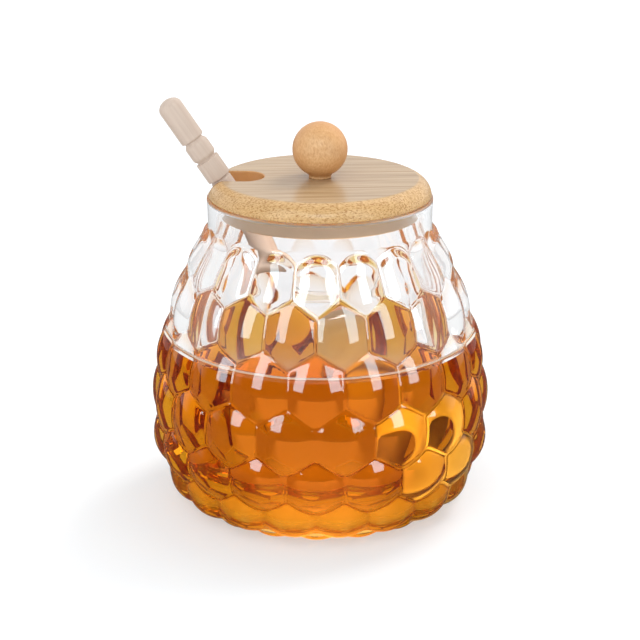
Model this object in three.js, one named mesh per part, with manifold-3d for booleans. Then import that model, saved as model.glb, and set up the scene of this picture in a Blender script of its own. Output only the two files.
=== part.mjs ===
// Glass honey pot with honeycomb bumps, honey, a notched wooden lid with a ball knob, and a wooden dipper.
// Millimetres, +Z up. The origin is the centre of the pot's base, and the dipper leans towards -X.

import * as THREE from "three";
import { mergeVertices } from "three/addons/utils/BufferGeometryUtils.js";
import Module from "manifold-3d";

const wasm = await Module();
wasm.setup();

// Clearance between pieces that touch
const GAP = 0.3;

// Pot: height and radius of the valleys between the cells, from the foot up to the neck
const VALLEYS = [
  [0, 37],
  [5, 44.8],
  [12, 48.6],
  [22, 52.2],
  [36, 52.6],
  [51, 51.0],
  [65, 46.9],
  [79, 42.4],
  [88.5, 36.9],
  [93.5, 36],
];

// Pot: row number of the cells against height, a whole number at the middle of each row
const ROWS = [
  [0.2, 0],
  [0.5, 3.5],
  [1.5, 15.3],
  [2.5, 29.7],
  [3.5, 45.6],
  [4.5, 62.1],
  [5.5, 77.5],
  [6.5, 93.5],
];
const CELLS_ROUND = 18;
const CELLS_TURN = THREE.MathUtils.degToRad(-1.51);
const TOP_ROW = 6;
const BUMP_HEIGHT = 2.6;
const HEXAGON_ROW_STEP = Math.sqrt(3) / 2;
const FOOT_FADE = 3;
const SHOULDER_FADE = 4;
const SHOULDER_TOP = 93.5;
const SHOULDER_SCALLOP = 3;

// Pot: neck, wall and floor
const NECK_RADIUS = 36;
const RIM_RADIUS = 36.2;
const RIM_HEIGHT = 102.4;
const RIM_ROUNDING = 0.7;
const RIM_FLARE_DEPTH = 3.5;
const NECK_INNER_RADIUS = 32.9;
const WALL = 3;
const FLOOR = 4;
const INNER_CORNER = 12;

// Honey
const HONEY_LEVEL = 56;

// Lid
const LID_UNDERSIDE = RIM_HEIGHT + GAP;
const LID_THICKNESS = 5.6;
const LID_EDGE_RADIUS = 35.7;
const LID_FLAT_RADIUS = 31.2;
const LID_EDGE_ARC = THREE.MathUtils.degToRad(70);
const PLUG_RADIUS = 31;
const PLUG_DEPTH = 6;
const PLUG_CHAMFER = 0.6;
const LID_TOP = LID_UNDERSIDE + LID_THICKNESS;

// Notch in the lid, open at the edge, turned a little from -X towards +Y
const NOTCH_WIDTH = 13.1;
const NOTCH_INNER_END = 17.9;
const NOTCH_TURN = THREE.MathUtils.degToRad(-3.4);

// Ball knob on its foot
const BALL_RADIUS = 8.8;
const BALL_HEIGHT = 117.5;
const BALL_FOOT_RADIUS = 4.2;

// Dipper: a turned stick that leans in the XZ plane, lengths along its axis from the lower tip
const DIPPER_TIP = new THREE.Vector3(35.1, 0, 7.6);
const DIPPER_LEAN = THREE.MathUtils.degToRad(33.7);
const DIPPER_LENGTH = 151;
const HEAD_MIDDLE = 16.5;
const HEAD_HALF_LENGTH = 19.5;
const HEAD_RADIUS = 10.5;
const RIB_COUNT = 7;
const RIB_PITCH = 4.9;
const RIB_WIDTH = 2.9;
const CORE_RADIUS = 4.8;
const SHAFT_LOWER_RADIUS = 3.1;
const SHAFT_RADIUS = 3.5;
const HANDLE_RADIUS = 3.95;
const GROOVE_RADIUS = 3.1;
const GROOVE_WIDTH = 0.9;
const BARREL_CHAMFER = 1.1;
const HANDLE_END_LENGTH = 14.9;
const BARREL_LENGTH = 7.6;
const COLLAR_LENGTH = 7.4;
const HANDLE_ROUNDING = 2.9;

// Facets
const COLUMNS_PER_CELL = 4;
const RINGS_PER_ROW = 6;
const INNER_SIDES = 48;
const LID_SIDES = 60;
const BALL_SIDES = 28;
const DIPPER_SIDES = 16;
const INSIDE_STEP = 10;

// A smooth curve through [x, y] knots, straight beyond the ends
function smooth(knots, x) {
  const last = knots.length - 1;
  const slope = (i, j) => (knots[j][1] - knots[i][1]) / (knots[j][0] - knots[i][0]);
  const tangent = (i) => slope(Math.max(i - 1, 0), Math.min(i + 1, last));
  if (x <= knots[0][0]) {
    return knots[0][1] + slope(0, 1) * (x - knots[0][0]);
  }
  if (x >= knots[last][0]) {
    return knots[last][1] + slope(last - 1, last) * (x - knots[last][0]);
  }
  const i = knots.findIndex((knot) => knot[0] > x) - 1;
  const width = knots[i + 1][0] - knots[i][0];
  const t = (x - knots[i][0]) / width;
  const rise = knots[i + 1][1] - knots[i][1];
  const ease = t * t * (3 - 2 * t);
  const lead = t * (1 - t) * (1 - t) * tangent(i);
  const trail = t * t * (1 - t) * tangent(i + 1);
  return knots[i][1] + rise * ease + width * (lead - trail);
}

// A point of the valley profile and its outward normal
function valley(height) {
  const step = 0.05;
  const radius = smooth(VALLEYS, height);
  const lean = (smooth(VALLEYS, height + step) - radius) / step;
  const length = Math.hypot(1, lean);
  return { radius, outward: 1 / length, upward: -lean / length };
}

// Height of the honeycomb relief above the valleys, turn counted in cells round the pot
function relief(turn, row, height) {
  const level = Math.min(row, TOP_ROW);
  const middle = Math.round(level);
  let nearest = Infinity;
  let sideways = 0;
  for (let r = middle - 1; r <= Math.min(middle + 1, TOP_ROW); r += 1) {
    const across = turn - Math.abs(r % 2) / 2;
    const du = across - Math.round(across);
    const dv = (level - r) * HEXAGON_ROW_STEP;
    if (du * du + dv * dv < nearest) {
      nearest = du * du + dv * dv;
      sideways = du;
    }
  }
  const shoulder = SHOULDER_TOP - SHOULDER_SCALLOP * 4 * sideways * sideways;
  const footFade = THREE.MathUtils.smoothstep(height, 0, FOOT_FADE);
  const topFade = 1 - THREE.MathUtils.smoothstep(height, shoulder - SHOULDER_FADE, shoulder);
  return BUMP_HEIGHT * (1 - 3 * nearest) * footFade * topFade;
}

// A point round the pot's axis, turn counted in cells from the front
function aroundAxis(turn, radius, height) {
  const angle = (turn / CELLS_ROUND) * 2 * Math.PI + CELLS_TURN;
  return new THREE.Vector3(radius * Math.sin(angle), -radius * Math.cos(angle), height);
}

// A point on the outside of the pot
function potPoint(turn, row) {
  const height = smooth(ROWS, row);
  const base = valley(height);
  const rise = relief(turn, row, height);
  return aroundAxis(turn, base.radius + rise * base.outward, height + rise * base.upward);
}

// Rings of the bumpy body from the foot up, then the plain neck and the rounded rim
function potRings(columns) {
  const rings = [];
  const columnTurn = (c) => c / COLUMNS_PER_CELL;
  const bodyRing = (row) => Array.from({ length: columns }, (_, c) => potPoint(columnTurn(c), row));
  const plainRing = (radius, height) =>
    Array.from({ length: columns }, (_, c) => aroundAxis(columnTurn(c), radius, height));
  const [firstRow] = ROWS[0];
  const [lastRow] = ROWS[ROWS.length - 1];
  rings.push(bodyRing(firstRow));
  const firstStep = Math.ceil(firstRow * RINGS_PER_ROW);
  for (let step = firstStep; step <= lastRow * RINGS_PER_ROW; step += 1) {
    rings.push(bodyRing(step / RINGS_PER_ROW));
  }
  rings.push(plainRing(NECK_RADIUS, RIM_HEIGHT - RIM_FLARE_DEPTH));
  rings.push(plainRing(RIM_RADIUS, RIM_HEIGHT - RIM_ROUNDING));
  rings.push(plainRing(RIM_RADIUS - RIM_ROUNDING, RIM_HEIGHT));
  return rings;
}

// Two triangles for a quad, split along its shorter diagonal
function splitQuad(faces, positions, a, b, c, d) {
  const distance = (i, j) => positions[i].distanceTo(positions[j]);
  if (distance(a, c) <= distance(b, d)) {
    faces.push(a, b, c, a, c, d);
  } else {
    faces.push(a, b, d, b, c, d);
  }
}

// A closed solid from a stack of rings of equal length, with a flat cap at each end
function solidFromRings(rings) {
  const columns = rings[0].length;
  const positions = rings.flat();
  const faces = [];
  for (let r = 0; r < rings.length - 1; r += 1) {
    for (let c = 0; c < columns; c += 1) {
      const next = (c + 1) % columns;
      const low = r * columns;
      const high = low + columns;
      splitQuad(faces, positions, low + c, low + next, high + next, high + c);
    }
  }
  const bottom = positions.length;
  positions.push(new THREE.Vector3(0, 0, rings[0][0].z));
  const top = positions.length;
  positions.push(new THREE.Vector3(0, 0, rings[rings.length - 1][0].z));
  const lastRing = (rings.length - 1) * columns;
  for (let c = 0; c < columns; c += 1) {
    const next = (c + 1) % columns;
    faces.push(bottom, next, c);
    faces.push(top, lastRing + c, lastRing + next);
  }
  const geometry = new THREE.BufferGeometry();
  geometry.setFromPoints(positions);
  geometry.setIndex(faces);
  return geometry;
}

// A turned solid about +Z from [radius, height] pairs that start and end on the axis
function turned(profile, sides) {
  const points = profile.map(([radius, height]) => new THREE.Vector2(radius, height));
  const geometry = new THREE.LatheGeometry(points, sides);
  geometry.rotateX(Math.PI / 2);
  return geometry;
}

// Booleans on closed geometries
function toSolid(geometry) {
  const plain = geometry.clone();
  plain.deleteAttribute("normal");
  plain.deleteAttribute("uv");
  const merged = mergeVertices(plain, 1e-4);
  return new wasm.Manifold(
    new wasm.Mesh({
      numProp: 3,
      vertProperties: new Float32Array(merged.attributes.position.array),
      triVerts: new Uint32Array(merged.index.array),
    }),
  );
}

function toGeometry(solid) {
  const mesh = solid.getMesh();
  const geometry = new THREE.BufferGeometry();
  geometry.setAttribute("position", new THREE.BufferAttribute(new Float32Array(mesh.vertProperties), 3));
  geometry.setIndex(new THREE.BufferAttribute(new Uint32Array(mesh.triVerts), 1));
  return geometry;
}

function cut(body, ...tools) {
  return toGeometry(tools.reduce((solid, tool) => solid.subtract(toSolid(tool)), toSolid(body)));
}

// Inside of the pot from the floor up to a height, pulled in by a clearance
function insideProfile(top, clearance) {
  const floor = FLOOR + clearance;
  const innerRadius = (height) => {
    const wall = smooth(VALLEYS, Math.max(height, INNER_CORNER)) - WALL;
    return Math.max(wall, NECK_INNER_RADIUS) - clearance;
  };
  const profile = [[0, floor]];
  const cornerSteps = 4;
  const corner = INNER_CORNER - floor;
  const cornerRadius = innerRadius(INNER_CORNER);
  for (let i = 0; i <= cornerSteps; i += 1) {
    const angle = (i / cornerSteps) * (Math.PI / 2);
    profile.push([cornerRadius - corner * (1 - Math.sin(angle)), INNER_CORNER - corner * Math.cos(angle)]);
  }
  for (let height = INNER_CORNER + INSIDE_STEP; height < Math.min(top, SHOULDER_TOP); height += INSIDE_STEP) {
    profile.push([innerRadius(height), height]);
  }
  profile.push([innerRadius(top), top]);
  profile.push([0, top]);
  return profile;
}

// Radius of the dipper's ribbed head at a distance from the tip
function headRadius(along) {
  const reach = (along - HEAD_MIDDLE) / HEAD_HALF_LENGTH;
  return HEAD_RADIUS * Math.sqrt(Math.max(0, 1 - reach * reach));
}

// Dipper profile from the tip to the rounded end of the handle, grown by a clearance
function dipperProfile(clearance) {
  const profile = [[0, -clearance]];
  for (let rib = 0; rib < RIB_COUNT; rib += 1) {
    const start = rib * RIB_PITCH;
    const end = start + RIB_WIDTH;
    if (rib > 0) {
      profile.push([CORE_RADIUS + clearance, start - clearance]);
    }
    profile.push([headRadius(start) + clearance, start - clearance]);
    profile.push([headRadius(end) + clearance, end + clearance]);
    profile.push([CORE_RADIUS + clearance, end + clearance]);
  }
  const handleStart = DIPPER_LENGTH - HANDLE_END_LENGTH;
  const barrelStart = handleStart - BARREL_LENGTH;
  const collarStart = barrelStart - COLLAR_LENGTH;
  const headEnd = RIB_COUNT * RIB_PITCH;
  const points = [
    [SHAFT_LOWER_RADIUS, headEnd],
    [SHAFT_RADIUS, collarStart - GROOVE_WIDTH],
    [GROOVE_RADIUS, collarStart - GROOVE_WIDTH / 2],
    [GROOVE_RADIUS, collarStart],
    [HANDLE_RADIUS, collarStart],
    [HANDLE_RADIUS, barrelStart - GROOVE_WIDTH / 2],
    [GROOVE_RADIUS, barrelStart - GROOVE_WIDTH / 2],
    [GROOVE_RADIUS, barrelStart],
    [HANDLE_RADIUS, barrelStart + BARREL_CHAMFER],
    [HANDLE_RADIUS, handleStart - GROOVE_WIDTH - BARREL_CHAMFER],
    [GROOVE_RADIUS, handleStart - GROOVE_WIDTH],
    [GROOVE_RADIUS, handleStart - GROOVE_WIDTH / 2],
    [HANDLE_RADIUS, handleStart],
  ];
  points.forEach(([radius, along]) => profile.push([radius + clearance, along]));
  const roundingSteps = 4;
  for (let i = 0; i < roundingSteps; i += 1) {
    const angle = (i / roundingSteps) * (Math.PI / 2);
    const radius = (HANDLE_RADIUS + clearance) * Math.cos(angle);
    profile.push([radius, DIPPER_LENGTH - HANDLE_ROUNDING * (1 - Math.sin(angle))]);
  }
  profile.push([0, DIPPER_LENGTH]);
  return profile;
}

// The dipper where it leans in the pot
function placedDipper(clearance) {
  const geometry = turned(dipperProfile(clearance), DIPPER_SIDES);
  geometry.rotateY(-DIPPER_LEAN);
  geometry.translate(DIPPER_TIP.x, DIPPER_TIP.y, DIPPER_TIP.z);
  return geometry;
}

function jarGeometry() {
  const outside = solidFromRings(potRings(CELLS_ROUND * COLUMNS_PER_CELL));
  const inside = turned(insideProfile(RIM_HEIGHT + 1, 0), INNER_SIDES);
  return cut(outside, inside);
}

function honeyGeometry() {
  const fill = turned(insideProfile(HONEY_LEVEL, GAP), INNER_SIDES);
  return cut(fill, placedDipper(GAP));
}

// The notch as an upright slot with a round inner end
function notchTool() {
  const half = NOTCH_WIDTH / 2;
  const centre = -(NOTCH_INNER_END + half);
  const beyond = -(LID_EDGE_RADIUS + half);
  const outline = new THREE.Shape();
  outline.moveTo(beyond, -half);
  outline.lineTo(centre, -half);
  outline.absarc(centre, 0, half, -Math.PI / 2, Math.PI / 2, false);
  outline.lineTo(beyond, half);
  const depth = LID_THICKNESS + PLUG_DEPTH + 2;
  const geometry = new THREE.ExtrudeGeometry(outline, { depth, bevelEnabled: false, curveSegments: 12 });
  geometry.translate(0, 0, LID_UNDERSIDE - PLUG_DEPTH - 1);
  geometry.rotateZ(NOTCH_TURN);
  return geometry;
}

function lidGeometry() {
  const plugBottom = LID_UNDERSIDE - PLUG_DEPTH;
  const profile = [
    [0, plugBottom],
    [PLUG_RADIUS - PLUG_CHAMFER, plugBottom],
    [PLUG_RADIUS, plugBottom + PLUG_CHAMFER],
    [PLUG_RADIUS, LID_UNDERSIDE],
  ];
  const arcRadius = (LID_EDGE_RADIUS - LID_FLAT_RADIUS) / (1 - Math.cos(LID_EDGE_ARC));
  const arcHeight = LID_THICKNESS / Math.sin(LID_EDGE_ARC);
  const arcSteps = 5;
  for (let i = 0; i <= arcSteps; i += 1) {
    const angle = (i / arcSteps) * LID_EDGE_ARC;
    const radius = LID_EDGE_RADIUS - arcRadius * (1 - Math.cos(angle));
    profile.push([radius, LID_UNDERSIDE + arcHeight * Math.sin(angle)]);
  }
  profile.push([0, LID_TOP]);
  return cut(turned(profile, LID_SIDES), notchTool());
}

function knobGeometry() {
  const profile = [
    [0, LID_TOP + GAP],
    [BALL_FOOT_RADIUS, LID_TOP + GAP],
  ];
  const footAngle = Math.asin(BALL_FOOT_RADIUS / BALL_RADIUS);
  const steps = 13;
  for (let i = 0; i < steps; i += 1) {
    const angle = footAngle + (i / steps) * (Math.PI - footAngle);
    profile.push([BALL_RADIUS * Math.sin(angle), BALL_HEIGHT - BALL_RADIUS * Math.cos(angle)]);
  }
  profile.push([0, BALL_HEIGHT + BALL_RADIUS]);
  return turned(profile, BALL_SIDES);
}

function material(color, roughness) {
  return new THREE.MeshStandardMaterial({ color, roughness, metalness: 0 });
}

function addPiece(group, name, geometry, surface) {
  const mesh = new THREE.Mesh(geometry, surface);
  mesh.name = name;
  group.add(mesh);
}

const pot = new THREE.Group();
addPiece(pot, "jar", jarGeometry(), material(0xe9f0f2, 0.05));
addPiece(pot, "honey", honeyGeometry(), material(0xdf7a1c, 0.15));
addPiece(pot, "lid", lidGeometry(), material(0xd9bd92, 0.55));
addPiece(pot, "knob", knobGeometry(), material(0xe8b57e, 0.5));
addPiece(pot, "dipper", placedDipper(0), material(0xdec9b8, 0.65));

export default pot;
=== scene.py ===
import math

import bmesh
import bpy
import numpy as np
from mathutils import Matrix, Vector


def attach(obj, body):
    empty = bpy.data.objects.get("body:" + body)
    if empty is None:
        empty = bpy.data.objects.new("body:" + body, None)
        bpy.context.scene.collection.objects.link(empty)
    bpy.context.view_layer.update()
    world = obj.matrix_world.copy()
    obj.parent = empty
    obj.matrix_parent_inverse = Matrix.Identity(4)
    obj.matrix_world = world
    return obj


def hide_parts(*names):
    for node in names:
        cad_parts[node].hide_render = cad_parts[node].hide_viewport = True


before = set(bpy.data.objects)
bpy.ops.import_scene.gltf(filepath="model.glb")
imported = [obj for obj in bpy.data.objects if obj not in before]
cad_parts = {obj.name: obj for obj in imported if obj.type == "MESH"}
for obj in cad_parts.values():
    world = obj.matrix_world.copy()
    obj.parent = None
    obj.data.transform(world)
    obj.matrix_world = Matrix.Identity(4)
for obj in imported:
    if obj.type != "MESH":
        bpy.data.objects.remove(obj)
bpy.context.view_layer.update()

# Lengths are in millimetres, and MM turns them into Blender's metres
MM = 0.001

# Camera, fitted to the photo's outline
CAMERA_TARGET = Vector((0, 0, 60.3)) * MM
CAMERA_DISTANCE = 641.3 * MM
CAMERA_PITCH = math.radians(18.42)
CAMERA_LENS = 110.5

# Pot: height and radius of the valleys between the cells
VALLEYS = np.array([
    (0, 37), (5, 44.8), (12, 48.6), (22, 52.2), (36, 52.6),
    (51, 51.0), (65, 46.9), (79, 42.4), (88.5, 36.9), (93.5, 36),
])
# Row number of the cells against height, a whole number at the middle of each row
ROWS = np.array([
    (0.2, 0), (0.5, 3.5), (1.5, 15.3), (2.5, 29.7),
    (3.5, 45.6), (4.5, 62.1), (5.5, 77.5), (6.5, 93.5),
])
CELLS_ROUND = 18
CELLS_TURN = math.radians(-1.51)
TOP_ROW = 6
BUMP_HEIGHT = 2.7
# The bumps get lower from this row up, by this share at the top row
FLATTENING_START = 4
UPPER_FLATTENING = 0.35
VALLEY_SHARPNESS = 90
HEXAGON_ROW_STEP = math.sqrt(3) / 2
# Squared distance in cells that is too far to count
FAR_AWAY = 9.0
# Heights over which the bumps fade at the foot and at the scalloped shoulder
FOOT_FADE = 3
SHOULDER_FADE = 4
SHOULDER_TOP = 93.5
SHOULDER_SCALLOP = 3

# Pot: neck, rim and inside
NECK_RADIUS = 36
NECK_BOTTOM = 94.2
NECK_FLARE = 99
RIM_RADIUS = 36.2
RIM_HEIGHT = 102.4
RIM_BAND = 1.6
RIM_ROUNDING = 0.8
NECK_INNER_RADIUS = 32.9
NECK_INNER_BOTTOM = 94
WALL = 3
FLOOR = 4
INNER_CORNER = 12
INSIDE_TOP = 93
INSIDE_FLOOR_RADIUS = 45

# Pot: how fine its mesh is
BASE_RINGS = (12, 24, 33, 36.2)
BODY_COLUMNS = CELLS_ROUND * 20
BODY_ROWS = 150
INSIDE_ROWS = 46

# Honey
HONEY_LEVEL = 56
HONEY_INTO_GLASS = 0.25
# Height, reach and steepness of the honey's raised edges
MENISCUS_RISE = 0.9
MENISCUS_REACH = 1.6
STEEPNESS_AT_WALL = 2.2
STEEPNESS_AT_SHAFT = 2
HONEY_COLUMNS = 216
HONEY_ROWS = 30
# Faces of the raised edge that get a painted highlight: this far up, and this near the wall
HIGHLIGHT_EDGE_RISE = 0.3
HIGHLIGHT_EDGE_WIDTH = 1.5
# Rings of the honey's surface, as shares of the way in from the wall and then out from the shaft
SHARES_NEAR_WALL = np.array((0.004, 0.009, 0.014, 0.02, 0.028, 0.038, 0.05, 0.07, 0.1))
SHARES_NEAR_SHAFT = np.linspace(0.86, 0.04, 34)

# Lid and knob
LID_UNDERSIDE = 102.7
LID_TOP = 108.3
LID_EDGE_RADIUS = 35.7
LID_FLAT_RADIUS = 31.2
LID_EDGE_START = 0.04
LID_EDGE_SWEEP = math.radians(70)
LID_EDGE_LAYERS = 20
PLUG_RADIUS = 31
PLUG_DEPTH = 6
PLUG_ROUNDING = 0.6
PLUG_LAYERS = (99, 101.5)
UNDERSIDE_RINGS = (33, 35.3)
NOTCH_HALF = 6.55
NOTCH_ROUNDING = 0.45
NOTCH_INNER_END = 17.9
NOTCH_TURN = math.radians(-3.4)
LID_ARC_POINTS = 241
NOTCH_SIDE_POINTS = 14
NOTCH_END_POINTS = 41
BALL_RADIUS = 8.8
BALL_HEIGHT = 117.5
BALL_FOOT_RADIUS = 3.6
KNOB_GAP = 0.05
KNOB_SIDES = 96
BALL_STEPS = 60

# Dipper, lengths along its axis from the lower tip
DIPPER_TIP = Vector((35.1, 0, 7.6))
DIPPER_LEAN = math.radians(33.7)
DIPPER_LENGTH = 151
HEAD_MIDDLE = 16.5
HEAD_HALF_LENGTH = 19.5
HEAD_RADIUS = 10.5
RIB_COUNT = 7
RIB_PITCH = 4.9
RIB_WIDTH = 2.9
CORE_RADIUS = 4.8
SHAFT_LOWER_RADIUS = 3.1
SHAFT_RADIUS = 3.5
HANDLE_RADIUS = 3.95
HANDLE_CAP = 3.0
GROOVE_RADIUS = 3.1
GROOVE_WIDTH = 0.45
HANDLE_START = DIPPER_LENGTH - 14.9
BARREL_START = HANDLE_START - 7.6
COLLAR_START = BARREL_START - 7.4
DIPPER_SIDES = 72

# Points along each rounded corner of a turned profile
FILLET_STEPS = 5


# Curves and meshes

def smooth(knots, x):
    """Cubic curve through (x, y) knots, straight beyond the ends."""
    xs, ys = knots[:, 0], knots[:, 1]
    x = np.asarray(x, float)
    slopes = np.diff(ys) / np.diff(xs)
    tangents = np.empty(len(xs))
    tangents[0], tangents[-1] = slopes[0], slopes[-1]
    tangents[1:-1] = (ys[2:] - ys[:-2]) / (xs[2:] - xs[:-2])
    i = np.clip(np.searchsorted(xs, x, side="right") - 1, 0, len(xs) - 2)
    width = xs[i + 1] - xs[i]
    t = np.clip((x - xs[i]) / width, 0, 1)
    ease = t * t * (3 - 2 * t)
    lead = t * (1 - t) ** 2 * tangents[i]
    trail = t * t * (1 - t) * tangents[i + 1]
    inside = ys[i] + (ys[i + 1] - ys[i]) * ease + width * (lead - trail)
    below = ys[0] + slopes[0] * (x - xs[0])
    above = ys[-1] + slopes[-1] * (x - xs[-1])
    return np.where(x < xs[0], below, np.where(x > xs[-1], above, inside))


def smoothstep(x, low, high):
    """Soft step from zero at low to one at high."""
    t = np.clip((x - low) / (high - low), 0, 1)
    return t * t * (3 - 2 * t)


def relief(turn, row, height):
    """Height of the honeycomb bumps above the valleys, turn counted in cells round the pot."""
    level = np.minimum(row, TOP_ROW)
    middle = np.round(level)
    total = 0.0
    sideways = np.zeros_like(turn + row)
    closest = np.full_like(turn + row, FAR_AWAY)
    for offset in (-1, 0, 1):
        r = middle + offset
        across = turn - np.abs(r % 2) / 2
        for side in (0, 1):
            du = across - np.floor(across) - side
            dv = (level - r) * HEXAGON_ROW_STEP
            squared = du * du + dv * dv + np.where(r > TOP_ROW, FAR_AWAY, 0)
            total = total + np.exp(-VALLEY_SHARPNESS * squared)
            sideways = np.where(squared < closest, du, sideways)
            closest = np.minimum(closest, squared)
    nearest = -np.log(total) / VALLEY_SHARPNESS
    shoulder = SHOULDER_TOP - SHOULDER_SCALLOP * 4 * sideways * sideways
    foot_fade = smoothstep(height, 0, FOOT_FADE)
    shoulder_fade = 1 - smoothstep(height, shoulder - SHOULDER_FADE, shoulder)
    flatter = 1 - UPPER_FLATTENING * smoothstep(row, FLATTENING_START, TOP_ROW)
    return BUMP_HEIGHT * (1 - 3 * nearest) * (foot_fade * shoulder_fade) * flatter


def ring(radius, height, angles):
    """Points at one radius and height round the pot's axis."""
    radius = np.broadcast_to(radius, angles.shape)
    height = np.broadcast_to(height, angles.shape)
    return np.stack([radius * np.sin(angles), -radius * np.cos(angles), height], axis=-1)


def add_object(name, data):
    """A new object in the scene."""
    piece = bpy.data.objects.new(name, data)
    bpy.context.scene.collection.objects.link(piece)
    return piece


def mesh_object(name, points, faces):
    """A smooth mesh piece from points in millimetres, with its faces turned outwards."""
    mesh = bpy.data.meshes.new(name)
    mesh.from_pydata((np.asarray(points) * MM).tolist(), [], faces)
    bm = bmesh.new()
    bm.from_mesh(mesh)
    bmesh.ops.recalc_face_normals(bm, faces=bm.faces)
    if bm.calc_volume(signed=True) < 0:
        bmesh.ops.reverse_faces(bm, faces=bm.faces)
    bm.to_mesh(mesh)
    bm.free()
    mesh.shade_smooth()
    return add_object(name, mesh)


def skin(name, rings):
    """A closed piece from a stack of rings, with a pole at each end."""
    rings = np.asarray(rings)
    count, columns = rings.shape[:2]
    points = rings.reshape(-1, 3).tolist()
    first = len(points)
    points.append(rings[0].mean(axis=0).tolist())
    points.append(rings[-1].mean(axis=0).tolist())
    low = np.arange(count - 1)[:, None] * columns
    here = np.arange(columns)[None, :]
    after = (here + 1) % columns
    high = low + columns
    quads = np.stack([low + here, low + after, high + after, high + here], axis=-1)
    faces = quads.reshape(-1, 4).tolist()
    last = (count - 1) * columns
    for c in range(columns):
        d = (c + 1) % columns
        faces.append([first, d, c])
        faces.append([first + 1, last + c, last + d])
    return mesh_object(name, points, faces)


def fillet(corners):
    """A profile from (radius, height, rounding) corners, each rounded by a short curve."""
    profile = []
    for i, (r, h, rounding) in enumerate(corners):
        here = np.array((r, h), float)
        if rounding == 0 or i in (0, len(corners) - 1):
            profile.append(here)
            continue
        before = np.array(corners[i - 1][:2], float) - here
        after = np.array(corners[i + 1][:2], float) - here
        reach_before = min(rounding, 0.45 * np.linalg.norm(before))
        reach_after = min(rounding, 0.45 * np.linalg.norm(after))
        start = here + before / np.linalg.norm(before) * reach_before
        end = here + after / np.linalg.norm(after) * reach_after
        for t in np.linspace(0, 1, FILLET_STEPS):
            profile.append((1 - t) ** 2 * start + 2 * t * (1 - t) * here + t * t * end)
    return np.array(profile)


def turned(name, profile, sides):
    """A piece turned about +Z from (radius, height) pairs that start and end on the axis."""
    angles = np.arange(sides) / sides * 2 * math.pi
    inner = profile[1:-1]
    rings = np.stack([ring(r, h, angles) for r, h in inner])
    piece = skin(name, rings)
    ends = len(piece.data.vertices)
    piece.data.vertices[ends - 2].co = Vector((0, 0, profile[0][1])) * MM
    piece.data.vertices[ends - 1].co = Vector((0, 0, profile[-1][1])) * MM
    return piece


# Pot

def inner_radius(height):
    """Radius of the pot's inside at a height."""
    wall = smooth(VALLEYS, np.maximum(height, INNER_CORNER)) - WALL
    return np.maximum(wall, NECK_INNER_RADIUS)


def inside_profile(top, outward, steps):
    """Inside of the pot from the floor up to a height, pushed outwards into the glass."""
    floor = FLOOR - outward
    corner = INNER_CORNER - floor
    corner_radius = float(inner_radius(INNER_CORNER)) + outward
    points = [(r, floor) for r in np.linspace(6, corner_radius - corner, 6)[:-1]]
    for angle in np.linspace(0, math.pi / 2, 12):
        radius = corner_radius - corner * (1 - math.sin(angle))
        points.append((radius, INNER_CORNER - corner * math.cos(angle)))
    for height in np.linspace(INNER_CORNER, top, steps)[1:]:
        points.append((float(inner_radius(height)) + outward, height))
    return points


def make_jar():
    """Glass pot: honeycomb outside, plain neck, rounded rim and a plain inside."""
    angles = np.arange(BODY_COLUMNS) / BODY_COLUMNS * 2 * math.pi + CELLS_TURN
    turns = np.arange(BODY_COLUMNS) / BODY_COLUMNS * CELLS_ROUND
    rings = [ring(r, 0, angles) for r in BASE_RINGS]
    # Height difference that gives the wall's lean
    short_step = 0.05
    for row in np.linspace(ROWS[0][0], ROWS[-1][0], BODY_ROWS):
        height = smooth(ROWS, row)
        radius = smooth(VALLEYS, height)
        lean = (smooth(VALLEYS, height + short_step) - radius) / short_step
        length = math.hypot(1, lean)
        rise = relief(turns, row, height)
        lifted = np.maximum(height - rise * lean / length, 0)
        rings.append(ring(radius + rise / length, lifted, angles))
    neck = fillet([
        (NECK_RADIUS, NECK_BOTTOM, 0),
        (NECK_RADIUS, NECK_FLARE, 2),
        (RIM_RADIUS, RIM_HEIGHT - RIM_BAND, RIM_ROUNDING),
        (RIM_RADIUS, RIM_HEIGHT, RIM_ROUNDING),
        (NECK_INNER_RADIUS, RIM_HEIGHT, 0.9),
        (NECK_INNER_RADIUS, NECK_INNER_BOTTOM, 0),
    ])
    rings.extend(ring(r, h, angles) for r, h in neck)
    inside = inside_profile(INSIDE_TOP, 0, INSIDE_ROWS)
    rings.extend(ring(r, h, angles) for r, h in reversed(inside))
    return skin("jar_glass", rings)


# Honey

def make_honey():
    """Honey that reaches just into the glass, raised at the wall and round the dipper."""
    angles = np.arange(HONEY_COLUMNS) / HONEY_COLUMNS * 2 * math.pi
    side = inside_profile(HONEY_LEVEL + MENISCUS_RISE, HONEY_INTO_GLASS, HONEY_ROWS)
    rings = [ring(r, h, angles) for r, h in side]
    above_tip = HONEY_LEVEL - DIPPER_TIP.z
    centre = np.array((DIPPER_TIP.x - above_tip * math.tan(DIPPER_LEAN), 0.0))
    wall_radius = float(inner_radius(HONEY_LEVEL))
    edge = ring(wall_radius + HONEY_INTO_GLASS, 0, angles)[:, :2]
    for share in [*(1 - SHARES_NEAR_WALL), *SHARES_NEAR_SHAFT]:
        flat = centre + (edge - centre) * share
        to_wall = np.maximum(wall_radius - np.hypot(flat[:, 0], flat[:, 1]), 0)
        shaft_x = (flat[:, 0] - centre[0]) * math.cos(DIPPER_LEAN)
        to_shaft = np.maximum(np.hypot(shaft_x, flat[:, 1]) - SHAFT_RADIUS + 0.2, 0)
        at_wall = MENISCUS_RISE * np.exp(-to_wall / MENISCUS_REACH * STEEPNESS_AT_WALL)
        at_shaft = MENISCUS_RISE * np.exp(-to_shaft / MENISCUS_REACH * STEEPNESS_AT_SHAFT)
        height = HONEY_LEVEL + np.minimum(at_wall + at_shaft, MENISCUS_RISE)
        rings.append(np.column_stack([flat, height]))
    return skin("honey_fill", rings)


# Lid

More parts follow.
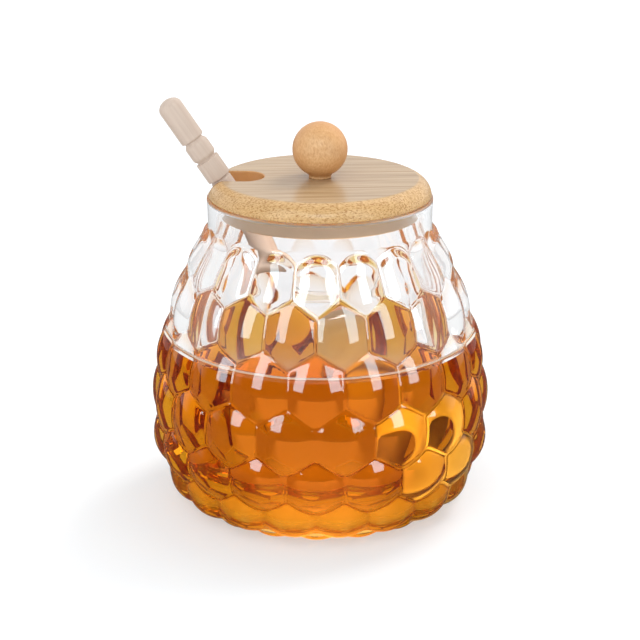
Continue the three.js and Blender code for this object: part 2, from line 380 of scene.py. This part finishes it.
def lid_outline(radius, half):
    """One layer of the lid from above: a circle with a slot towards -X, in a fixed point count."""
    corner = math.asin(half / radius)
    arc = np.linspace(-math.pi + corner, math.pi - corner, LID_ARC_POINTS)
    points = [(radius * math.cos(a), radius * math.sin(a)) for a in arc]
    centre = -(NOTCH_INNER_END + NOTCH_HALF)
    start = points[-1][0]
    along = np.linspace(0, 1, NOTCH_SIDE_POINTS)[1:-1]
    points += [(start + (centre - start) * t, half) for t in along]
    for angle in np.linspace(math.pi / 2, -math.pi / 2, NOTCH_END_POINTS):
        points.append((centre + half * math.cos(angle), half * math.sin(angle)))
    points += [(centre + (start - centre) * t, -half) for t in along]
    return np.array(points)


def lid_layers():
    """Radius, height and half width of the notch, from the plug's foot up to the flat top."""
    layers = []
    bottom = LID_UNDERSIDE - PLUG_DEPTH
    for angle in np.linspace(0, math.pi / 2, 4):
        inset = PLUG_ROUNDING * (1 - math.sin(angle))
        height = bottom + PLUG_ROUNDING * (1 - math.cos(angle))
        layers.append((PLUG_RADIUS - inset, height, NOTCH_HALF + inset * 0.6))
    layers += [(PLUG_RADIUS, h, NOTCH_HALF) for h in (*PLUG_LAYERS, LID_UNDERSIDE)]
    layers += [(r, LID_UNDERSIDE, NOTCH_HALF) for r in UNDERSIDE_RINGS]
    arc_radius = (LID_EDGE_RADIUS - LID_FLAT_RADIUS) / (1 - math.cos(LID_EDGE_SWEEP))
    arc_height = (LID_TOP - LID_UNDERSIDE) / math.sin(LID_EDGE_SWEEP)
    for angle in np.linspace(LID_EDGE_START, LID_EDGE_SWEEP, LID_EDGE_LAYERS):
        radius = LID_EDGE_RADIUS - arc_radius * (1 - math.cos(angle))
        height = LID_UNDERSIDE + arc_height * math.sin(angle)
        inward = NOTCH_ROUNDING - min(LID_TOP - height, NOTCH_ROUNDING)
        soften = NOTCH_ROUNDING - math.sqrt(max(0, NOTCH_ROUNDING ** 2 - inward ** 2))
        layers.append((radius, height, NOTCH_HALF + soften))
    return layers


def make_lid():
    """Notched lid: plug, underside, curved edge and flat top, with soft edges round the notch."""
    rings = []
    for radius, height, half in lid_layers():
        outline = lid_outline(radius, half)
        rings.append(np.column_stack([outline, np.full(len(outline), height)]))
    rings = np.array(rings)
    count, columns = rings.shape[:2]
    points = rings.reshape(-1, 3)
    faces = []
    for low in range(0, (count - 1) * columns, columns):
        high = low + columns
        for c in range(columns):
            d = (c + 1) % columns
            faces.append([low + c, low + d, high + d, high + c])
    faces.append(list(range(columns))[::-1])
    faces.append(list(range((count - 1) * columns, count * columns)))
    piece = mesh_object("lid_bamboo", points, faces)
    piece.data.transform(Matrix.Rotation(NOTCH_TURN, 4, "Z"))
    triangulate_caps(piece)
    return piece


def triangulate_caps(piece):
    """Splits many-sided faces into triangles and keeps their edges crisp."""
    bm = bmesh.new()
    bm.from_mesh(piece.data)
    caps = [f for f in bm.faces if len(f.verts) > 4]
    for face in caps:
        face.smooth = False
    bmesh.ops.triangulate(bm, faces=caps)
    bm.to_mesh(piece.data)
    bm.free()


def make_knob():
    """Ball knob that stands on a small flat foot with a soft throat."""
    foot = LID_TOP + KNOB_GAP
    profile = fillet([
        (0, foot, 0),
        (BALL_FOOT_RADIUS, foot, 0.2),
        (BALL_FOOT_RADIUS, foot + 0.7, 0.3),
        (BALL_FOOT_RADIUS + 0.1, foot + 0.8, 0),
    ]).tolist()
    start = math.asin((BALL_FOOT_RADIUS + 0.4) / BALL_RADIUS)
    for angle in np.linspace(start, math.pi, BALL_STEPS):
        profile.append((BALL_RADIUS * math.sin(angle), BALL_HEIGHT - BALL_RADIUS * math.cos(angle)))
    profile[-1] = (0, BALL_HEIGHT + BALL_RADIUS)
    return turned("knob_ball", np.array(profile), KNOB_SIDES)


# Dipper

def head_radius(along):
    """Radius of the ribbed head's oval outline."""
    reach = (along - HEAD_MIDDLE) / HEAD_HALF_LENGTH
    return HEAD_RADIUS * math.sqrt(max(0, 1 - reach * reach))


def make_dipper():
    """Turned dipper: rounded ribs, plain shaft, then collar, barrel and handle between grooves."""
    corners = [(0, 0, 0)]
    for rib in range(RIB_COUNT):
        start, end = rib * RIB_PITCH, rib * RIB_PITCH + RIB_WIDTH
        if rib:
            corners.append((CORE_RADIUS, start, 0.5))
        corners.append((head_radius(start), start, 1.0))
        corners.append((head_radius(end), end, 1.0))
        corners.append((CORE_RADIUS, end, 0.5))
    corners += [
        (SHAFT_LOWER_RADIUS, RIB_COUNT * RIB_PITCH, 2),
        (SHAFT_RADIUS, COLLAR_START - 2 * GROOVE_WIDTH, 0.2),
        (GROOVE_RADIUS, COLLAR_START - GROOVE_WIDTH, 0.2),
        (GROOVE_RADIUS, COLLAR_START, 0.1),
        (HANDLE_RADIUS, COLLAR_START, 0.25),
        (HANDLE_RADIUS, BARREL_START - GROOVE_WIDTH, 0.25),
        (GROOVE_RADIUS, BARREL_START - GROOVE_WIDTH, 0.1),
        (GROOVE_RADIUS, BARREL_START, 0.1),
        (HANDLE_RADIUS, BARREL_START + 1.1, 0.5),
        (HANDLE_RADIUS, HANDLE_START - 2.0, 0.5),
        (GROOVE_RADIUS, HANDLE_START - 2 * GROOVE_WIDTH, 0.1),
        (GROOVE_RADIUS, HANDLE_START - GROOVE_WIDTH, 0.1),
        (HANDLE_RADIUS, HANDLE_START, 0.25),
        (HANDLE_RADIUS, DIPPER_LENGTH - HANDLE_CAP, 0),
    ]
    profile = fillet(corners).tolist()
    for angle in np.linspace(0, math.pi / 2, 14)[1:]:
        radius = HANDLE_RADIUS * math.cos(angle)
        profile.append((radius, DIPPER_LENGTH - HANDLE_CAP * (1 - math.sin(angle))))
    profile[-1] = (0, DIPPER_LENGTH)
    piece = turned("dipper_wood", np.array(profile), DIPPER_SIDES)
    place = Matrix.Translation(DIPPER_TIP * MM) @ Matrix.Rotation(-DIPPER_LEAN, 4, "Y")
    piece.data.transform(place)
    return piece


# Materials

# Colour ramps: place and colour of each stop
BAMBOO_TOP = [
    (0.32, (0.33, 0.205, 0.10)),
    (0.52, (0.46, 0.32, 0.18)),
    (0.72, (0.53, 0.385, 0.235)),
]
BAMBOO_EDGE = [
    (0.36, (0.38, 0.19, 0.065)),
    (0.45, (0.56, 0.345, 0.145)),
    (0.7, (0.70, 0.465, 0.225)),
]
BAMBOO_BANDS = [(0.35, (0.9, 0.87, 0.84)), (0.65, (1.06, 1.05, 1.04))]
BALL_SPECKS = [
    (0.3, (0.57, 0.32, 0.14)),
    (0.5, (0.66, 0.40, 0.195)),
    (0.7, (0.73, 0.48, 0.26)),
]
BALL_CLOUDS = [(0.3, (0.93, 0.86, 0.78)), (0.7, (1.05, 1.04, 1.02))]
DIPPER_GRAIN = [
    (0.3, (0.53, 0.42, 0.345)),
    (0.5, (0.565, 0.46, 0.385)),
    (0.7, (0.60, 0.495, 0.415)),
]
DIPPER_BANDS = [(0.3, (0.96, 0.94, 0.92)), (0.7, (1.03, 1.03, 1.02))]
NOTCH_WALL_COLOUR = (0.55, 0.27, 0.095)
# The plug's own tan, painted paler to make up for the shade it sits in under the lid
PLUG_TAN_AND_PAINTED_LIGHT = (0.78, 0.53, 0.32)
# Painted shade that darkens the ball towards its outline
BALL_OUTLINE_SHADE_COLOUR = (0.60, 0.27, 0.08)
# Depth of the grain's relief, in metres
GRAIN_DEPTH = 0.0001
# How much of the slow bands shows over the fine grain
TOP_BANDING = 0.7
EDGE_BANDING = 0.5
BALL_CLOUDING = 0.8
DIPPER_BANDING = 0.7

GLASS_IOR = 1.5
# Glass that honey wets or that stands on the floor bends next to no light
WET_IOR = 1.0
BASE_IOR = 1.02
CLEAR_GLASS_COLOUR = (0.965, 0.975, 0.98)
# Rim glass tint: a painted pale blue-grey band in place of the orange light that comes through the
# rim
RIM_GLASS_PAINTED_TINT = (0.7, 0.83, 0.95)
HONEY_ABSORPTION = (0.918, 0.735, 0.0, 1)
HONEY_DENSITY = 80


def new_material(name):
    """A material with a Principled shader, and its node tree."""
    material = bpy.data.materials.new(name)
    material.use_nodes = True
    tree = material.node_tree
    return material, tree, tree.nodes["Principled BSDF"]


def connect(tree, value, socket):
    """Sets a socket where the value is a number or a colour, and links it otherwise."""
    if isinstance(value, tuple):
        socket.default_value = (*value, 1)
    elif isinstance(value, (int, float)):
        socket.default_value = value
    else:
        tree.links.new(value, socket)


def compute(tree, operation, *values):
    """The result of a Math node."""
    node = tree.nodes.new("ShaderNodeMath")
    node.operation = operation
    for value, socket in zip(values, node.inputs):
        connect(tree, value, socket)
    return node.outputs["Value"]


def split_vector(tree, vector):
    """The X, Y and Z of a vector, by name."""
    split = tree.nodes.new("ShaderNodeSeparateXYZ")
    tree.links.new(vector, split.inputs["Vector"])
    return split.outputs


def position(tree, kind="Object"):
    """Position in a piece's own frame, or for the world the direction in the sky."""
    return tree.nodes.new("ShaderNodeTexCoord").outputs[kind]


def colour_ramp(tree, fac, stops):
    """A colour ramp over fac with (place, colour) stops."""
    ramp = tree.nodes.new("ShaderNodeValToRGB")
    elements = ramp.color_ramp.elements
    while len(elements) < len(stops):
        elements.new(0.5)
    for element, (place, colour) in zip(elements, stops):
        element.position = place
        element.color = (*colour, 1)
    tree.links.new(fac, ramp.inputs["Fac"])
    return ramp.outputs["Color"]


def grain(tree, lean, scale, detail, roughness):
    """Noise in object coordinates, which are turned along the grain and then scaled."""
    turn = tree.nodes.new("ShaderNodeMapping")
    turn.inputs["Rotation"].default_value = lean
    tree.links.new(position(tree), turn.inputs["Vector"])
    stretch = tree.nodes.new("ShaderNodeMapping")
    stretch.inputs["Scale"].default_value = scale
    tree.links.new(turn.outputs["Vector"], stretch.inputs["Vector"])
    node = tree.nodes.new("ShaderNodeTexNoise")
    node.inputs["Scale"].default_value = 1
    node.inputs["Detail"].default_value = detail
    node.inputs["Roughness"].default_value = roughness
    tree.links.new(stretch.outputs["Vector"], node.inputs["Vector"])
    return node.outputs["Fac"]


def mix(tree, fac, first, second, blend="MIX"):
    """A colour between two others."""
    node = tree.nodes.new("ShaderNodeMix")
    node.data_type = "RGBA"
    node.blend_type = blend
    connect(tree, fac, node.inputs["Factor"])
    colours = [s for s in node.inputs if s.type == "RGBA"]
    connect(tree, first, colours[0])
    connect(tree, second, colours[1])
    return [s for s in node.outputs if s.type == "RGBA"][0]


def mix_value(tree, fac, first, second):
    """A number between two others."""
    node = tree.nodes.new("ShaderNodeMix")
    node.data_type = "FLOAT"
    # The factor and the two number sockets, which share their names with other types
    for value, index in ((fac, 0), (first, 2), (second, 3)):
        connect(tree, value, node.inputs[index])
    return node.outputs[0]


def map_range(tree, value, low, high, first, second):
    """A number that goes from first to second while value goes from low to high."""
    node = tree.nodes.new("ShaderNodeMapRange")
    numbers = (("From Min", low), ("From Max", high), ("To Min", first), ("To Max", second))
    for socket, number in numbers:
        node.inputs[socket].default_value = number
    tree.links.new(value, node.inputs["Value"])
    return node.outputs["Result"]


def finish_wood(tree, shader, tone, roughness, height, strength):
    """Colour, gloss and fine relief of a wood."""
    tree.links.new(tone, shader.inputs["Base Color"])
    shader.inputs["Roughness"].default_value = roughness
    node = tree.nodes.new("ShaderNodeBump")
    node.inputs["Strength"].default_value = strength
    node.inputs["Distance"].default_value = GRAIN_DEPTH
    tree.links.new(height, node.inputs["Height"])
    tree.links.new(node.outputs["Normal"], shader.inputs["Normal"])


def notch_wall(tree):
    """One on the walls of the lid's notch, and zero beside them."""
    place = position(tree)
    across = tree.nodes.new("ShaderNodeVectorMath")
    across.operation = "DOT_PRODUCT"
    across.inputs[1].default_value = (-math.sin(NOTCH_TURN), math.cos(NOTCH_TURN), 0)
    tree.links.new(place, across.inputs[0])
    aside = compute(tree, "ABSOLUTE", across.outputs["Value"])
    near, far = (NOTCH_HALF + 0.1) * MM, (NOTCH_HALF + 0.3) * MM
    in_notch = map_range(tree, aside, near, far, 1.0, 0.0)
    to_left = map_range(tree, split_vector(tree, place)["X"], -15 * MM, -14.5 * MM, 1.0, 0.0)
    return compute(tree, "MULTIPLY", in_notch, to_left)


def bamboo_material():
    """Satin bamboo: long streaks on the top, and specks of cut fibres on the edge and walls."""
    material, tree, shader = new_material("bamboo")
    along_x = (0, 0, NOTCH_TURN)
    streaks = grain(tree, along_x, (26, 1500, 1500), 3, 0.6)
    bands = grain(tree, along_x, (12, 260, 260), 2, 0.5)
    specks = grain(tree, along_x, (1100, 2300, 2300), 2, 0.6)
    slow = colour_ramp(tree, bands, BAMBOO_BANDS)
    top = mix(tree, TOP_BANDING, colour_ramp(tree, streaks, BAMBOO_TOP), slow, "MULTIPLY")
    edge = mix(tree, EDGE_BANDING, colour_ramp(tree, specks, BAMBOO_EDGE), slow, "MULTIPLY")
    edge = mix(tree, notch_wall(tree), edge, NOTCH_WALL_COLOUR)
    height = split_vector(tree, position(tree))["Z"]
    # The plug under the lid takes its own tan, painted paler to make up for the shade it sits in
    below = map_range(tree, height, LID_UNDERSIDE * MM, (LID_UNDERSIDE + 0.2) * MM, 1.0, 0.0)
    edge = mix(tree, below, edge, PLUG_TAN_AND_PAINTED_LIGHT)
    facing = tree.nodes.new("ShaderNodeNewGeometry").outputs["Normal"]
    flat = map_range(tree, split_vector(tree, facing)["Z"], 0.9, 0.985, 0.0, 1.0)
    tone = mix(tree, flat, edge, top)
    shader.inputs["IOR"].default_value = 1.55
    finish_wood(tree, shader, tone, roughness=0.27, height=specks, strength=0.12)
    return material


def ball_material():
    """Satin ball wood with fine pale and dark specks, and painted shade that deepens its colour
    towards its outline.
    """
    material, tree, shader = new_material("knob_wood")
    lean = (0.3, 0.2, 0)
    specks = grain(tree, lean, (1900, 1900, 900), 2, 0.6)
    clouds = colour_ramp(tree, grain(tree, lean, (90, 90, 240), 3, 0.5), BALL_CLOUDS)
    tone = mix(tree, BALL_CLOUDING, colour_ramp(tree, specks, BALL_SPECKS), clouds, "MULTIPLY")
    # Painted shade: a darker, more orange colour where the surface turns away from the view
    turn = tree.nodes.new("ShaderNodeLayerWeight")
    turn.inputs["Blend"].default_value = 0.4
    tone = mix(tree, turn.outputs["Facing"], tone, BALL_OUTLINE_SHADE_COLOUR)
    finish_wood(tree, shader, tone, roughness=0.36, height=specks, strength=0.1)
    return material


def dipper_material():
    """Matt pale turned wood with a faint grain along the stick."""
    material, tree, shader = new_material("dipper_wood")
    lean = (0, DIPPER_LEAN, 0)
    fine = grain(tree, lean, (900, 900, 40), 3, 0.55)
    bands = colour_ramp(tree, grain(tree, lean, (120, 120, 12), 2, 0.5), DIPPER_BANDS)
    tone = mix(tree, DIPPER_BANDING, colour_ramp(tree, fine, DIPPER_GRAIN), bands, "MULTIPLY")
    finish_wood(tree, shader, tone, roughness=0.62, height=fine, strength=0.1)
    return material


def glass_material(name, ior, roughness=0.0, colour=(1, 1, 1)):
    """Clear glass without absorption."""
    material, _, shader = new_material(name)
    shader.inputs["Base Color"].default_value = (*colour, 1)
    shader.inputs["Roughness"].default_value = roughness
    shader.inputs["IOR"].default_value = ior
    shader.inputs["Transmission Weight"].default_value = 1
    return material


def honey_material():
    """Clear amber that gets its colour from depth, and bends no light where it wets the glass."""
    material, tree, shader = new_material("honey")
    shader.inputs["Base Color"].default_value = (1, 1, 1, 1)
    shader.inputs["Roughness"].default_value = 0
    shader.inputs["Transmission Weight"].default_value = 1
    height = split_vector(tree, position(tree))["Z"]
    level = HONEY_LEVEL
    surface = map_range(tree, height, (level - 0.5) * MM, (level - 0.4) * MM, 1.0, 1.05)
    raised = map_range(tree, height, (level + 0.05) * MM, (level + 0.15) * MM, 0.0, 0.44)
    tree.links.new(compute(tree, "ADD", surface, raised), shader.inputs["IOR"])
    inside = tree.nodes.new("ShaderNodeVolumeAbsorption")
    inside.inputs["Color"].default_value = HONEY_ABSORPTION
    inside.inputs["Density"].default_value = HONEY_DENSITY
    tree.links.new(inside.outputs["Volume"], tree.nodes["Material Output"].inputs["Volume"])
    return material


def edge_highlight_material():
    """The raised edge of the honey, painted pale and made to glow as a highlight line."""
    material, _, shader = new_material("honey_edge_highlight")
    shader.inputs["Base Color"].default_value = (0.9, 0.87, 0.82, 1)
    shader.inputs["Roughness"].default_value = 0.3
    # Painted highlight: the edge glows faintly although it is no lamp
    shader.inputs["Emission Color"].default_value = (1, 0.96, 0.9, 1)
    shader.inputs["Emission Strength"].default_value = 0.3
    return material


def wear(piece, *materials):
    """Gives a piece its materials."""
    for material in materials:
        piece.data.materials.append(material)


def face_vectors(piece, kind):
    """The centre or normal of each face, a row each."""
    values = np.empty(len(piece.data.polygons) * 3)
    piece.data.polygons.foreach_get(kind, values)
    return values.reshape(-1, 3)


def use_materials(piece, choice):
    """Gives each face the material with its number."""
    piece.data.polygons.foreach_set("material_index", choice.astype(np.int32))


def highlight_edge_faces(piece):
    """The honey's highest faces, close to the wall, take the second material, the painted
    highlight.
    """
    centres = face_vectors(piece, "center") / MM
    radius = np.hypot(centres[:, 0], centres[:, 1])
    near_wall = radius > float(inner_radius(HONEY_LEVEL)) - HIGHLIGHT_EDGE_WIDTH
    raised = centres[:, 2] > HONEY_LEVEL + HIGHLIGHT_EDGE_RISE
    use_materials(piece, raised & near_wall)


def sort_glass(piece):
    """Picks a glass for each face: plain, wet by the honey, under the pot or on the rim."""
    centres = face_vectors(piece, "center") / MM
    normals = face_vectors(piece, "normal")
    height = centres[:, 2]
    radius = np.hypot(centres[:, 0], centres[:, 1])
    facing = (centres[:, :2] * normals[:, :2]).sum(axis=1)
    inner_wall = (facing < 0) & (height > FLOOR - 0.5)
    inner_floor = np.abs(height - FLOOR) < 0.5
    inner_floor &= radius < INSIDE_FLOOR_RADIUS
    wet = (inner_wall | inner_floor) & (height < HONEY_LEVEL - 0.1)
    underside = height < 0.05
    rim = (height > RIM_HEIGHT - 0.6) & (radius > NECK_INNER_RADIUS)
    use_materials(piece, wet + 2 * underside + 3 * rim)


# Studio, in metres from the middle of the pot's base

# Floor: its colours and glow, with painted shade for the camera and painted light through glass,
# under the pot and mirrored
FLOOR_SIZE = 12.0
FLOOR_DROP = 0.2 * MM
FLOOR_GREY = (0.5, 0.5, 0.5)
FLOOR_PAINTED_CAUSTIC = (0.5, 0.45, 0.38)
FLOOR_MIRRORED = (0.1, 0.1, 0.1)
GLOW_COOL = (0.95, 0.98, 1)
GLOW_PAINTED_CAUSTIC = (1, 0.9, 0.78)
GLOW_PAINTED_UNDER_POT = (1, 0.55, 0.12)
GLOW_PAINTED_POOL = (1, 0.3, 0.035)
WHITE = (1, 1, 1)

# World colours from the horizon up, for plain light and for light that comes through glass
SKY = [(0.0, WHITE), (0.25, WHITE), (0.5, (0.8, 0.81, 0.83)), (1.0, (0.65, 0.66, 0.68))]
SKY_THROUGH = [(0.0, WHITE), (0.25, WHITE), (0.45, (0.65, 0.66, 0.68)), (1.0, (0.45, 0.46, 0.48))]

# Card round the pot, in millimetres
CARD_HEIGHT = HONEY_LEVEL + 1.5
CARD_RADII = (55, 600)
CARD_SIDES = 72
CARD_STRENGTH = 0.35

WINDOW_AZIMUTH = math.radians(43)
WINDOW_DISTANCE = 0.95
WINDOW_HEIGHT = 0.78
WINDOW_SIZE = (0.5, 1.3)
WINDOW_AIM = (0, 0, 0.3)
WINDOW_COLOUR = (0.68, 0.9, 1.0, 1)

LAMP_AIM = (0, 0, 0.05)
HEAD_LIGHT_COLOUR = (0.55, 0.58, 1.0)
LIGHT_BOUNCES = 32


def hide_from(piece, *rays):
    """Keeps a card or lamp out of sight for some kinds of ray."""
    for ray in rays:
        setattr(piece, "visible_" + ray, False)


def aim(piece, place, target):
    """Moves a lamp or card to a place and turns it towards a target."""
    piece.location = place
    piece.rotation_euler = (Vector(target) - Vector(place)).to_track_quat("-Z", "Y").to_euler()


def rectangle(name, width, depth):
    """A flat piece about its middle."""
    x, y = width / 2, depth / 2
    mesh = bpy.data.meshes.new(name)
    mesh.from_pydata([(-x, -y, 0), (x, -y, 0), (x, y, 0), (-x, y, 0)], [], [(0, 1, 2, 3)])
    return add_object(name, mesh)


def mirror_ray(tree):
    """One for light that a surface mirrors, and zero for all other light."""
    path = tree.nodes.new("ShaderNodeLightPath").outputs
    node = tree.nodes.new("ShaderNodeMath")
    node.operation = "SUBTRACT"
    node.use_clamp = True
    tree.links.new(path["Is Glossy Ray"], node.inputs[0])
    tree.links.new(path["Is Transmission Ray"], node.inputs[1])
    return node.outputs["Value"]


def area_light(name, place, target, size, power, colour=WHITE):
    """A square area lamp aimed at a target."""
    data = bpy.data.lights.new(name, "AREA")
    data.size = size
    data.energy = power
    data.color = colour
    lamp = add_object(name, data)
    aim(lamp, place, target)
    return lamp


def add_card():
    """Card round the pot at the honey's level, which only the glass above it mirrors."""
    angles = np.arange(CARD_SIDES) / CARD_SIDES * 2 * math.pi
    rings = np.concatenate([ring(r, CARD_HEIGHT, angles) for r in CARD_RADII])
    faces = []
    for c in range(CARD_SIDES):
        d = (c + 1) % CARD_SIDES
        faces.append([c, d, CARD_SIDES + d, CARD_SIDES + c])
    mesh = bpy.data.meshes.new("card")
    mesh.from_pydata((rings * MM).tolist(), [], faces)
    card = add_object("card", mesh)
    hide_from(card, "camera", "diffuse", "transmission", "shadow")
    material, tree, _ = new_material("card")
    above = tree.nodes.new("ShaderNodeEmission")
    above.inputs["Strength"].default_value = CARD_STRENGTH
    below = tree.nodes.new("ShaderNodeBsdfTransparent")
    side = tree.nodes.new("ShaderNodeNewGeometry")
    choice = tree.nodes.new("ShaderNodeMixShader")
    tree.links.new(side.outputs["Backfacing"], choice.inputs["Fac"])
    tree.links.new(below.outputs["BSDF"], choice.inputs[1])
    tree.links.new(above.outputs["Emission"], choice.inputs[2])
    tree.links.new(choice.outputs["Shader"], tree.nodes["Material Output"].inputs["Surface"])
    wear(card, material)


def add_window(name, place, size, on_satin, on_glass):
    """Bright card for mirrored light alone, with one strength on satin wood and one on glass."""
    window = rectangle(name, *size)
    aim(window, place, WINDOW_AIM)
    hide_from(window, "camera", "diffuse", "transmission", "shadow")
    material, tree, _ = new_material(name)
    material.cycles.emission_sampling = "NONE"
    singular = tree.nodes.new("ShaderNodeLightPath").outputs["Is Singular Ray"]
    light = tree.nodes.new("ShaderNodeEmission")
    light.inputs["Color"].default_value = WINDOW_COLOUR
    connect(tree, mix_value(tree, singular, on_satin, on_glass), light.inputs["Strength"])
    tree.links.new(light.outputs["Emission"], tree.nodes["Material Output"].inputs["Surface"])
    wear(window, material)


def painted_pool_strength(tree, reach, place):
    """Painted pool of orange light on the floor in front of the pot, for mirrored light."""
    ahead = compute(tree, "MULTIPLY_ADD", compute(tree, "ABSOLUTE", place["X"]), 1.2, place["Y"])
    in_front = map_range(tree, ahead, 0.0, -0.05, 0.0, 5.0)
    close = map_range(tree, reach, 0.40, 0.42, 1.0, 0.0)
    return compute(tree, "MULTIPLY", in_front, close)


def floor_material():
    """Pale floor with painted shade for the camera, and painted light for light through glass and
    for mirrored light.
    """
    material, tree, shader = new_material("floor")
    shader.inputs["Roughness"].default_value = 0.8
    shader.inputs["Specular IOR Level"].default_value = 0
    length = tree.nodes.new("ShaderNodeVectorMath")
    length.operation = "LENGTH"
    tree.links.new(position(tree), length.inputs[0])
    # Distance from the pot's axis
    reach = length.outputs["Value"]
    place = split_vector(tree, position(tree))
    through = tree.nodes.new("ShaderNodeLightPath").outputs["Is Transmission Ray"]
    mirrored = mirror_ray(tree)
    # Painted orange glow on the floor under the pot, for light through glass
    under_pot_glow = map_range(tree, reach, 0.039, 0.044, 1.0, 0.0)
    # Painted warm caustic light on the floor near the pot, for light through glass
    painted_caustic_mask = map_range(tree, reach, 0.15, 0.22, 1.0, 0.0)

    base = mix(tree, through, FLOOR_GREY, mix(tree, painted_caustic_mask, FLOOR_GREY, FLOOR_PAINTED_CAUSTIC))
    # Mirrored light sees a dark floor under the painted pool of light
    connect(tree, mix(tree, mirrored, base, FLOOR_MIRRORED), shader.inputs["Base Color"])

    # Painted shadow: the camera sees a soft dip round the foot. Painted light: light through glass
    # sees a bright ring and foot
    near = map_range(tree, reach, 0.06, 0.10, 0.45, 0.57)
    far = map_range(tree, reach, 1.2, 2.5, 0.0, 0.45)
    # Painted light seen through glass: a bright ring round the foot, then the glow under the pot
    painted_ring_glow = map_range(tree, reach, 0.05, 0.08, 1.4, 0.38)
    below = map_range(tree, place["Y"], 0.012, 0.030, 0.85, 0.6)
    seen = mix_value(tree, through, compute(tree, "ADD", near, far),
                     mix_value(tree, under_pot_glow, painted_ring_glow, below))
    # Mirrored light sees the painted pool of orange light in front of the pot
    strength = mix_value(tree, mirrored, seen, painted_pool_strength(tree, reach, place))
    connect(tree, strength, shader.inputs["Emission Strength"])

    glow = mix(tree, under_pot_glow, mix(tree, painted_caustic_mask, WHITE, GLOW_PAINTED_CAUSTIC), GLOW_PAINTED_UNDER_POT)
    glow = mix(tree, through, GLOW_COOL, glow)
    connect(tree, mix(tree, mirrored, glow, GLOW_PAINTED_POOL), shader.inputs["Emission Color"])
    return material


def make_world():
    """Soft pale surroundings, which mirrored light sees only behind the pot."""
    world = bpy.data.worlds.new("studio")
    bpy.context.scene.world = world
    world.use_nodes = True
    tree = world.node_tree
    place = split_vector(tree, position(tree, "Generated"))
    through = tree.nodes.new("ShaderNodeLightPath").outputs["Is Transmission Ray"]
    colour = mix(tree, through, colour_ramp(tree, place["Z"], SKY),
                 colour_ramp(tree, place["Z"], SKY_THROUGH))
    backdrop = map_range(tree, place["Y"], -0.1, 0.3, 0.06, 0.9)
    mirrored = mix(tree, backdrop, (0, 0, 0), WHITE)
    colour = mix(tree, mirror_ray(tree), colour, mirrored)
    tree.links.new(colour, tree.nodes["Background"].inputs["Color"])


def make_studio():
    """Floor, cards, world and lamps."""
    floor = rectangle("floor", FLOOR_SIZE, FLOOR_SIZE)
    floor.location.z = -FLOOR_DROP
    wear(floor, floor_material())
    add_card()
    make_world()
    across = WINDOW_DISTANCE * math.sin(WINDOW_AZIMUTH)
    ahead = -WINDOW_DISTANCE * math.cos(WINDOW_AZIMUTH)
    for name, x in (("window_left", -across), ("window_right", across)):
        place = (x, ahead, WINDOW_HEIGHT)
        add_window(name, place, WINDOW_SIZE, on_satin=2.0, on_glass=10.5)
    add_window("softbox", (0, -1.1, 0.95), (0.6, 0.5), on_satin=4.5, on_glass=0.0)
    fill = area_light("fill", (-0.3, -1.2, 1.0), LAMP_AIM, size=1.2, power=9)
    hide_from(fill, "glossy", "transmission")
    head = area_light("head_light", (0.033, -0.026, 0.032), (0.025, 0, 0.030),
                      size=0.03, power=0.07, colour=HEAD_LIGHT_COLOUR)
    neck = area_light("neck_light", (0.012, -0.024, 0.074), (-0.010, 0, 0.092),
                      size=0.02, power=0.02)
    for lamp in (head, neck):
        hide_from(lamp, "camera", "glossy", "transmission")
    back = area_light("back_right", (0.7, 0.65, 1.15), LAMP_AIM, size=0.6, power=12)
    hide_from(back, "glossy")


def make_camera():
    """Camera at the photo's angle."""
    data = bpy.data.cameras.new("camera")
    data.sensor_width = 36
    data.lens = CAMERA_LENS
    data.dof.use_dof = False
    camera = add_object("camera", data)
    back = Vector((0, -math.cos(CAMERA_PITCH), math.sin(CAMERA_PITCH)))
    camera.location = CAMERA_TARGET + back * CAMERA_DISTANCE
    camera.rotation_euler = (-back).to_track_quat("-Z", "Y").to_euler()
    bpy.context.scene.camera = camera


# The pot and its pieces

def dress(piece, node):
    """Puts a piece in the place of its solid."""
    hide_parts(node)
    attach(piece, "root")


jar = make_jar()
wear(
    jar,
    glass_material("clear_glass", GLASS_IOR, colour=CLEAR_GLASS_COLOUR),
    glass_material("wet_glass", WET_IOR),
    glass_material("base_glass", BASE_IOR, roughness=0.3),
    # The rim glass is tinted and frosted to paint a pale blue-grey band
    glass_material("rim_glass", GLASS_IOR, roughness=0.45, colour=RIM_GLASS_PAINTED_TINT),
)
sort_glass(jar)
dress(jar, "jar")

honey = make_honey()
wear(honey, honey_material(), edge_highlight_material())
highlight_edge_faces(honey)
dress(honey, "honey")

lid = make_lid()
wear(lid, bamboo_material())
dress(lid, "lid")

knob = make_knob()
wear(knob, ball_material())
dress(knob, "knob")

dipper = make_dipper()
wear(dipper, dipper_material())
dress(dipper, "dipper")

make_studio()
make_camera()
bpy.context.scene.view_settings.view_transform = "Standard"
bpy.context.scene.cycles.max_bounces = LIGHT_BOUNCES
bpy.context.scene.cycles.transmission_bounces = LIGHT_BOUNCES
bpy.context.scene.cycles.glossy_bounces = LIGHT_BOUNCES
